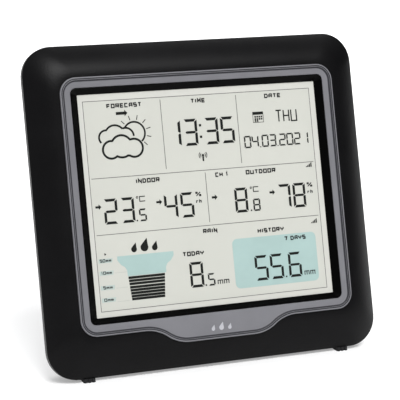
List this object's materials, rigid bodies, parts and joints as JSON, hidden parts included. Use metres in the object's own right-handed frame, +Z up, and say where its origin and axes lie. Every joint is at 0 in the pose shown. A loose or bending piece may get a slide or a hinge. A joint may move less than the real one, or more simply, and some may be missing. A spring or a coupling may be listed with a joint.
{
  "type": "home weather station",
  "caption": "Desk weather station: leaning convex frame round a recessed segment display, grey trim with a tab, rear keys, battery door and fold-out stand.",
  "frame": {"origin": "on the table, at the middle of the object's footprint box", "axes": "+X to the viewer's right along the face, +Y backwards away from the viewer, +Z up"},
  "size_m": [0.168, 0.0664, 0.1517],
  "materials": {
    "black_case": "fine spark-eroded texture, satin",
    "black_cover": "fine spark-eroded texture",
    "black_door": "fine spark-eroded texture",
    "black_stand": "fine spark-eroded texture",
    "black_surround": "smooth, half gloss",
    "key_black": "satin",
    "grey_trim": "satin grey paint",
    "display_film": "matt anti-glare film",
    "display_glass": "clear",
    "reflector_film": "silver film",
    "clear_acrylic": "clear",
    "lamp_white": "moulded lamp body",
    "white_plastic": "moulded",
    "contact_rubber": "silicone",
    "circuit_board": "solder mask",
    "radio_board": "solder mask",
    "chip_epoxy": "epoxy dome",
    "screw_steel": "zinc plated",
    "switch_steel": "stamped can",
    "tin_can": "tinned can",
    "antenna_wire": "bare wire",
    "ferrite": "sintered",
    "copper_winding": "enamelled wire",
    "grey_plastic": "moulded",
    "cell_sleeve": "printed sleeve, plain",
    "contact_nickel": "nickel plated",
    "buzzer_black": "moulded",
    "foot_rubber": "matt"
  },
  "bodies": {
    "case": {"antenna_saddles": "grey_plastic", "backlight_leds": "lamp_white", "battery_cell_bottom": "cell_sleeve", "battery_cell_middle": "cell_sleeve", "battery_cell_top": "cell_sleeve", "board_screws": "screw_steel", "buzzer": "buzzer_black", "case_screws": "screw_steel", "climate_sensor": "radio_board", "clock_crystal": "tin_can", "contact_plates": "contact_nickel", "contact_springs": "contact_nickel", "controller_chip": "chip_epoxy", "display_frame": "white_plastic", "display_front_glass": "display_glass", "display_polariser": "display_film", "display_rear_glass": "display_glass", "display_reflector": "reflector_film", "display_surround": "black_surround", "foot_left": "foot_rubber", "foot_right": "foot_rubber", "front_frame": "black_case", "key_switches": "switch_steel", "light_guide": "clear_acrylic", "main_board": "circuit_board", "radio_antenna": "antenna_wire", "radio_module": "radio_board", "rear_cover": "black_cover", "stand_pin": "screw_steel", "time_antenna_coil": "copper_winding", "time_antenna_rod": "ferrite", "trim_ring": "grey_trim", "zebra_strip": "contact_rubber"},
    "stand": {"stand_plate": "black_stand", "stand_tip_strip": "foot_rubber"},
    "battery_door": {"battery_door": "black_door"},
    "key_mode_body": {"key_mode": "key_black"},
    "key_channel_body": {"key_channel": "key_black"},
    "key_history_body": {"key_history": "key_black"},
    "key_up_body": {"key_up": "key_black"},
    "key_down_body": {"key_down": "key_black"},
    "key_light_body": {"key_light": "key_black"}
  },
  "joints": [
    {"name": "stand_hinge", "type": "hinge", "parent": "case", "child": "stand", "pos_m": [0, -0.00987, 0.01096], "axis": [1, 0, 0], "range_deg": [0, 87.6]},
    {"name": "battery_door_release", "type": "slide", "parent": "case", "child": "battery_door", "axis": [0, 0.9676, -0.2526], "range_m": [0, 0.03]},
    {"name": "key_mode_press", "type": "slide", "parent": "case", "child": "key_mode_body", "axis": [0, -0.9676, 0.2526], "range_m": [0, 0.0008], "stiffness_N_per_m": 1200},
    {"name": "key_channel_press", "type": "slide", "parent": "case", "child": "key_channel_body", "axis": [0, -0.9676, 0.2526], "range_m": [0, 0.0008], "stiffness_N_per_m": 1200},
    {"name": "key_history_press", "type": "slide", "parent": "case", "child": "key_history_body", "axis": [0, -0.9676, 0.2526], "range_m": [0, 0.0008], "stiffness_N_per_m": 1200},
    {"name": "key_up_press", "type": "slide", "parent": "case", "child": "key_up_body", "axis": [0, -0.9676, 0.2526], "range_m": [0, 0.0008], "stiffness_N_per_m": 1200},
    {"name": "key_down_press", "type": "slide", "parent": "case", "child": "key_down_body", "axis": [0, -0.9676, 0.2526], "range_m": [0, 0.0008], "stiffness_N_per_m": 1200},
    {"name": "key_light_press", "type": "slide", "parent": "case", "child": "key_light_body", "axis": [0, -0.9676, 0.2526], "range_m": [0, 0.0008], "stiffness_N_per_m": 1200}
  ]
}
